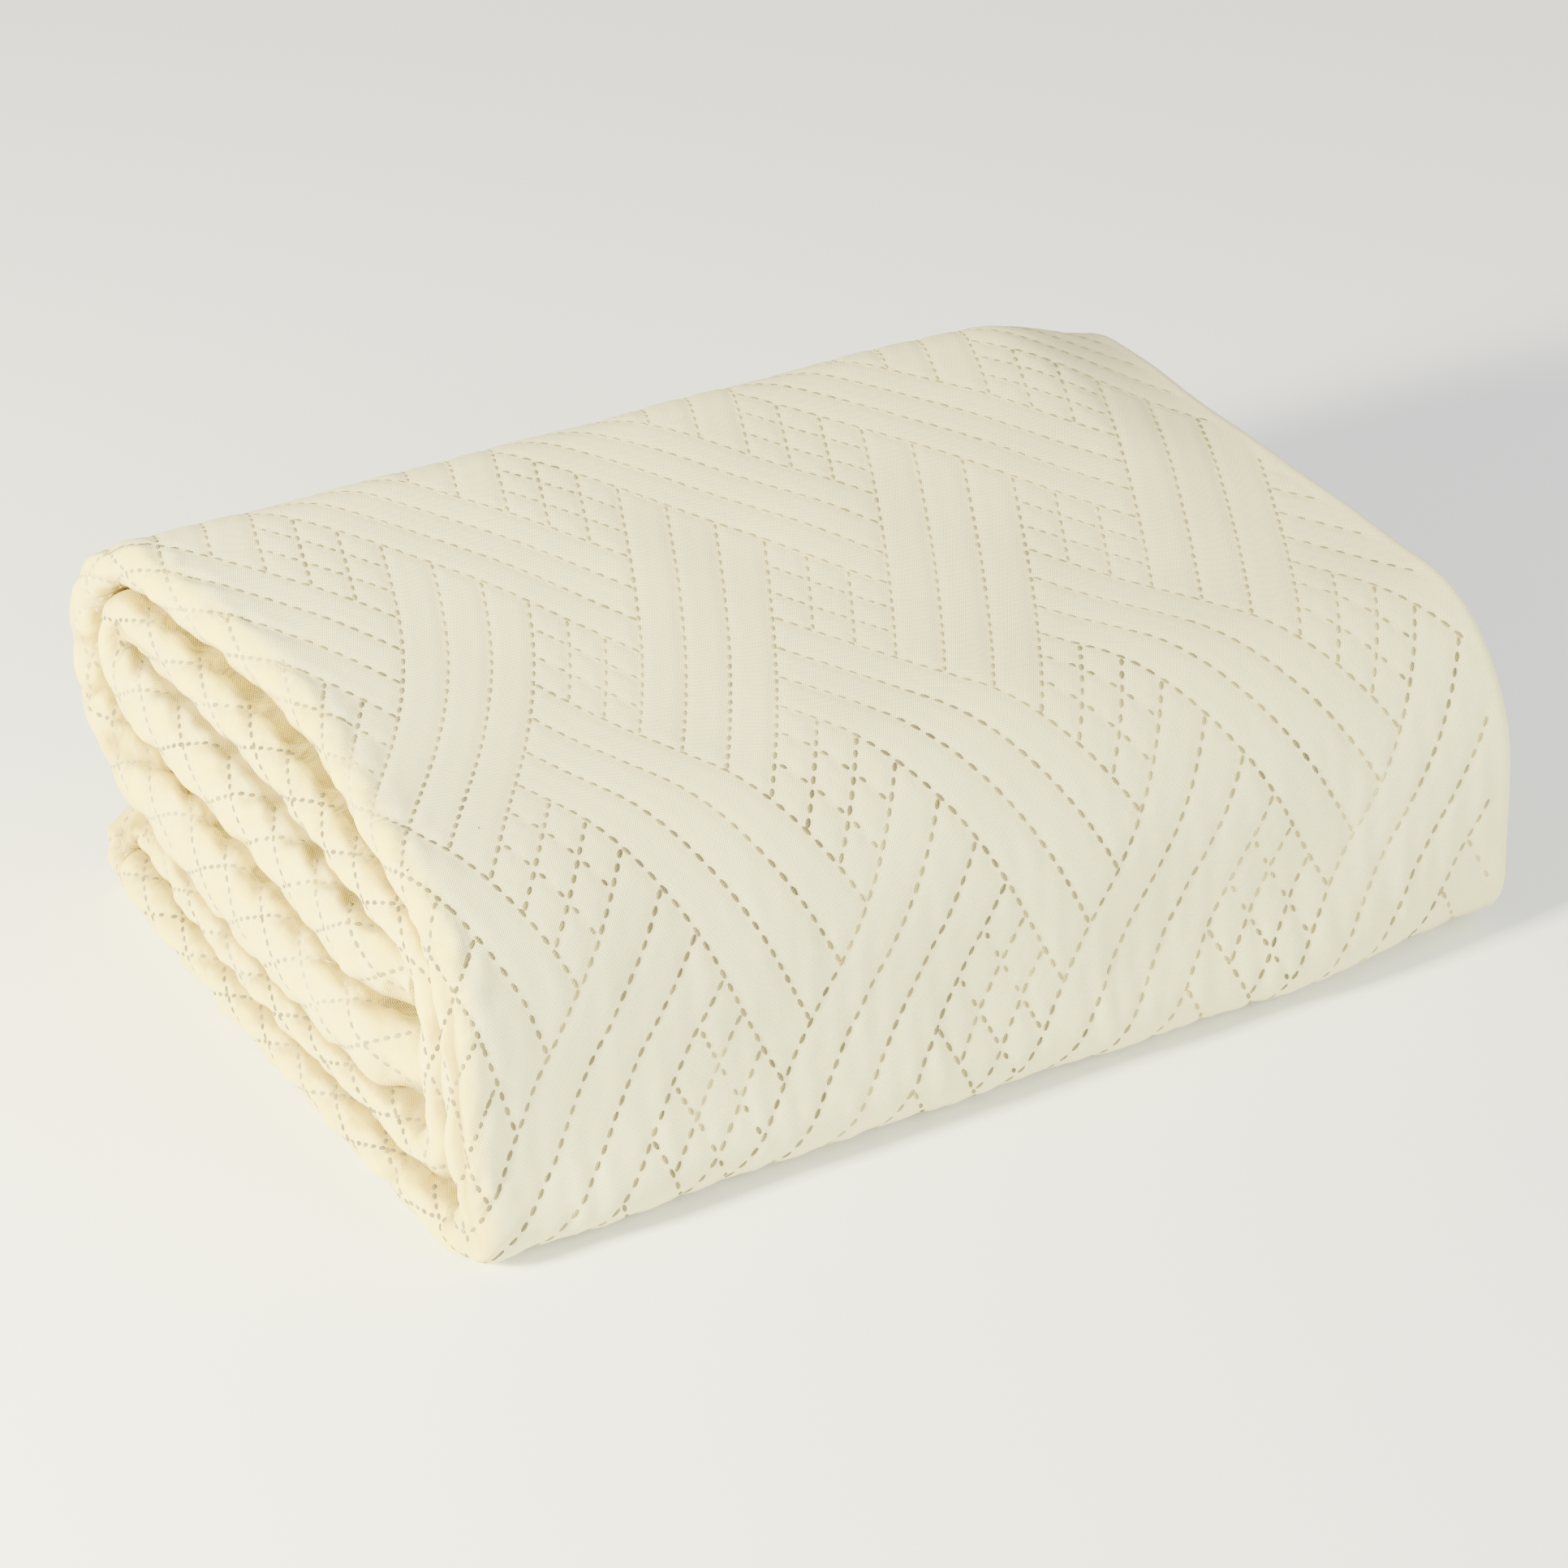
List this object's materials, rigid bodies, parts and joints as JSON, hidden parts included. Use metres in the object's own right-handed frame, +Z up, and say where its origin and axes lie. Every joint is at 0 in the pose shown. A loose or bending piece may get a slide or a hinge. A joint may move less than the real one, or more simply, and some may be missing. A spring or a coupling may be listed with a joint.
{
  "type": "folded quilted bedspread",
  "caption": "Cream bedspread with an embossed woven-band quilting, folded into a soft rounded bundle that lies flat on a shelf, bed or table.",
  "frame": {"origin": "centre of the bounding box on the plane that the bundle lies on", "axes": "+X runs along the bundle, away from the end with the closed folds, -Y is the rounded front, +Z is up"},
  "size_m": [0.5566, 0.4288, 0.1851],
  "materials": {
    "bedspread": "matte woven cotton with pressed quilting lines"
  },
  "bodies": {
    "root": {"bedspread": "bedspread"}
  },
  "joints": []
}
